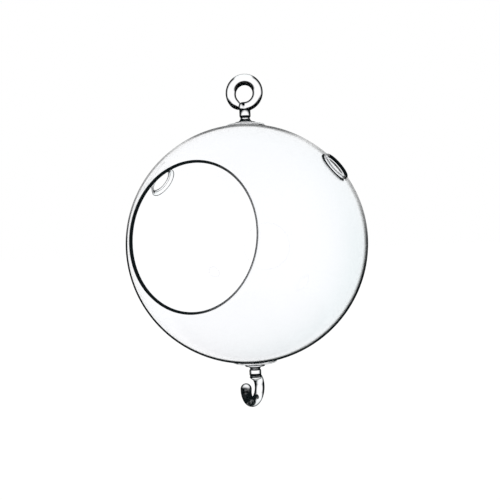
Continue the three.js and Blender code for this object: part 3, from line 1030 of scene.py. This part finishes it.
class TERRARIUM_OT_hook(bpy.types.Operator):
    """Bend the hook from rod and melt its bead onto the stem"""

    bl_idname = "terrarium.hook"
    bl_label = "Hook"

    def execute(self, context):
        s = context.scene.terrarium_rods
        weld = NODE_BOX["bottom_hook"][1][2]
        sweep = s.hook_shank_sweep
        bend_middle = Vector((0, -s.hook_bend * math.cos(sweep), weld - s.hook_bend * math.sin(sweep)))
        shank = QUARTER + sweep
        tip = QUARTER + s.hook_tip_sweep

        def station(away):
            """away is the angle from the saddle, towards the tip."""
            angle = -QUARTER + away
            bend, end_rod = (shank, s.hook_shank) if away < 0 else (tip, s.hook_tip)
            rod = s.hook_saddle + (end_rod - s.hook_saddle) * (away / bend) ** 2
            out = Vector((0, -math.cos(angle), math.sin(angle)))
            return bend_middle + out * s.hook_bend, rod / 2

        hook = loft("bottom_hook_glass", rod_sections(station, -shank, tip, 90), 48)
        pick(hook, self.bead(s, weld, context.scene.terrarium_fittings.neck))
        bpy.ops.object.join()
        melt(hook, 40)
        pick(hook)
        bpy.ops.object.mode_set(mode="EDIT")
        bpy.ops.mesh.select_all(action="SELECT")
        bpy.ops.mesh.bisect(
            plane_co=(0, 0, weld), plane_no=(0, 0, 1), clear_outer=True, use_fill=True, threshold=1e-7
        )
        bpy.ops.object.mode_set(mode="OBJECT")
        keep_within(hook, "bottom_hook")
        mark_weld(hook, (weld, BROAD_WELD_REACH))
        mark(hook, JOINT_SLOT, lambda face: face.normal.z > LEVEL and face.center.z > weld - NEAR)
        finish_piece(hook, "bottom_hook", rod_materials("hook_glass"))
        return {"FINISHED"}

    def bead(self, s, weld, neck):
        """The drop of glass between the stem and the rod; it reaches over the weld until it is cut level."""
        narrow = node_radius("hook_stem") - neck
        wide = s.hook_bead / 2
        rounding = 0.9 * MM
        profile = arc((weld - s.hook_bead_height + rounding, 0), (rounding, wide), -QUARTER, 0)[1:]
        profile += arc((weld - NECK_ROLL, narrow), (NECK_ROLL, wide - narrow), 0, QUARTER)
        profile += [(weld + 2 * MM, narrow)]
        return turned("hook_bead", profile, 48)


class TERRARIUM_OT_stage(bpy.types.Operator):
    """Set the pale floor, the studio light and the camera"""

    bl_idname = "terrarium.stage"
    bl_label = "Studio"

    def execute(self, context):
        s = context.scene.terrarium_stage
        self.floor(s)
        self.world(context, s)
        self.lamps(context)
        self.camera(context, s)
        context.scene.view_settings.view_transform = "Standard"
        return {"FINISHED"}

    def floor(self, s):
        radius, inner_radius = 40, 1
        pick()
        low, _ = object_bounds()
        bpy.ops.mesh.primitive_circle_add(
            vertices=96, radius=radius, fill_type="NGON", location=(0, 0, low.z - s.floor_drop)
        )
        floor = start_piece("floor")
        bpy.ops.mesh.inset(thickness=radius - inner_radius)
        bpy.ops.object.mode_set(mode="OBJECT")
        material = bpy.data.materials.new("pale_floor")
        tree = empty_tree(material)
        reach = vectors(tree, "LENGTH", vectors(tree, "MULTIPLY", where(tree), (1, 1, 0)))
        # Glass that mirrors the floor is darker the nearer the floor it mirrors.
        outside = spread(tree, reach, 0.1, 0.5, 0.75, 0.95)
        all_round = spread(tree, reach, 0.35, 0.6, 0.6, 1.1)
        to_side = vectors(tree, "DOT_PRODUCT", where(tree), PAINTED_SHADE_SIDE)
        inside = maths(tree, "MAXIMUM", all_round, spread(tree, to_side, -0.02, 0.2, 0.0, 0.8))
        seen = path_brightness(tree, STUDIO_LEVEL, STUDIO_LEVEL, outside, inside)
        # Near the object the floor is matt and takes its shadow; further out it glows as the backdrop does.
        matt_share = maths(tree, "MULTIPLY", spread(tree, reach, 0.35, 1.0, 1.0, 0.0), 0.8)
        glow_share = maths(tree, "SUBTRACT", 1.0, matt_share)
        matt = node(tree, "ShaderNodeBsdfDiffuse", {"Color": maths(tree, "MULTIPLY", matt_share, seen)})
        glowing = {"Color": (*s.backdrop, 1), "Strength": maths(tree, "MULTIPLY", glow_share, seen)}
        glow = node(tree, "ShaderNodeEmission", glowing)
        lit = node(tree, "ShaderNodeAddShader", {0: matt.outputs[0], 1: glow.outputs[0]})
        node(tree, "ShaderNodeOutputMaterial", {"Surface": lit.outputs[0]})
        floor.data.materials.append(material)
        floor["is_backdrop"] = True

    def world(self, context, s):
        world = bpy.data.worlds.new("studio")
        tree = empty_tree(world)
        direction = node(tree, "ShaderNodeTexCoord").outputs["Generated"]
        height = maths(tree, "MULTIPLY_ADD", upright(tree, direction), 0.5, 0.5)

        def zones(stops, level):
            """Brightness by elevation, from (elevation in degrees, brightness)."""
            shares = [((math.sin(math.radians(elevation)) + 1) / 2, bright) for elevation, bright in stops]
            return maths(tree, "MULTIPLY", stepped(tree, height, shares), level)

        # A pale wall all round, a dark gap over it and a bright ceiling
        straight = zones(((-90, 0.8), (17, 0.8), (22, 0.0), (72, 0.0), (80, 1.0), (90, 1.0)), 1.3)
        mirrored = zones(((-90, 1.0), (90, 1.0)), 1.1)
        seen = path_brightness(tree, straight, STUDIO_LEVEL, 0.95, mirrored)
        rays = node(tree, "ShaderNodeLightPath").outputs
        soft = either(tree, rays["Is Diffuse Ray"], seen, 0.35)
        strength = either(tree, rays["Is Camera Ray"], soft, 1.0)
        paint = node(tree, "ShaderNodeBackground", {"Color": (*s.backdrop, 1), "Strength": strength})
        node(tree, "ShaderNodeOutputWorld", {"Surface": paint.outputs[0]})
        context.scene.world = world

    def lamps(self, context):
        light = bpy.data.lights.new("overhead_softbox", "SUN")
        light.energy = 2.1
        light.angle = math.radians(25)
        lamp = bpy.data.objects.new("overhead_softbox", light)
        lamp.rotation_euler = (math.radians(20), math.radians(12), 0)
        lamp.visible_glossy = False
        lamp.visible_transmission = False
        context.scene.collection.objects.link(lamp)

    def camera(self, context, s):
        middle = globe_middle(context.scene.terrarium_globe.height)
        data = bpy.data.cameras.new("camera")
        data.lens = s.lens
        data.sensor_width = 36
        data.clip_start = 0.01
        # The globe's middle stands a little left of and above the picture's middle.
        photo_width = 500
        globe_x, globe_y = 246.9, 243.9
        data.shift_x = (photo_width / 2 - globe_x) / photo_width
        data.shift_y = (globe_y - photo_width / 2) / photo_width
        camera = bpy.data.objects.new("camera", data)
        context.scene.collection.objects.link(camera)
        back = Vector((math.sin(s.camera_azimuth), -math.cos(s.camera_azimuth), 0))
        facing = back.to_track_quat("Z", "Y").to_matrix().to_4x4()
        roll = Matrix.Rotation(-s.camera_roll, 4, "Z")
        camera.matrix_world = Matrix.Translation(middle + back * s.camera_distance) @ facing @ roll
        context.scene.camera = camera


OPERATORS = (
    TERRARIUM_OT_globe,
    TERRARIUM_OT_fittings,
    TERRARIUM_OT_ring,
    TERRARIUM_OT_hook,
    TERRARIUM_OT_stage,
)


class TERRARIUM_PT_panel(bpy.types.Panel):
    """Settings and steps of the terrarium"""

    bl_idname = "TERRARIUM_PT_panel"
    bl_label = "Hanging glass terrarium"
    bl_space_type = "VIEW_3D"
    bl_region_type = "UI"
    bl_category = "Terrarium"

    def draw(self, context):
        for name, group in SETTINGS.items():
            box = self.layout.box()
            settings = getattr(context.scene, name)
            for key in group.__annotations__:
                box.prop(settings, key)
        for operator in OPERATORS:
            self.layout.operator(operator.bl_idname)


CLASSES = (*SETTINGS.values(), *OPERATORS, TERRARIUM_PT_panel)


def register():
    for group in CLASSES:
        bpy.utils.register_class(group)
    for name, group in SETTINGS.items():
        setattr(bpy.types.Scene, name, bpy.props.PointerProperty(type=group))


def unregister():
    for name in SETTINGS:
        delattr(bpy.types.Scene, name)
    for group in reversed(CLASSES):
        bpy.utils.unregister_class(group)


def main():
    register()
    for operator in OPERATORS:
        family, name = operator.bl_idname.split(".")
        getattr(getattr(bpy.ops, family), name)()


if __name__ == "__main__":
    main()
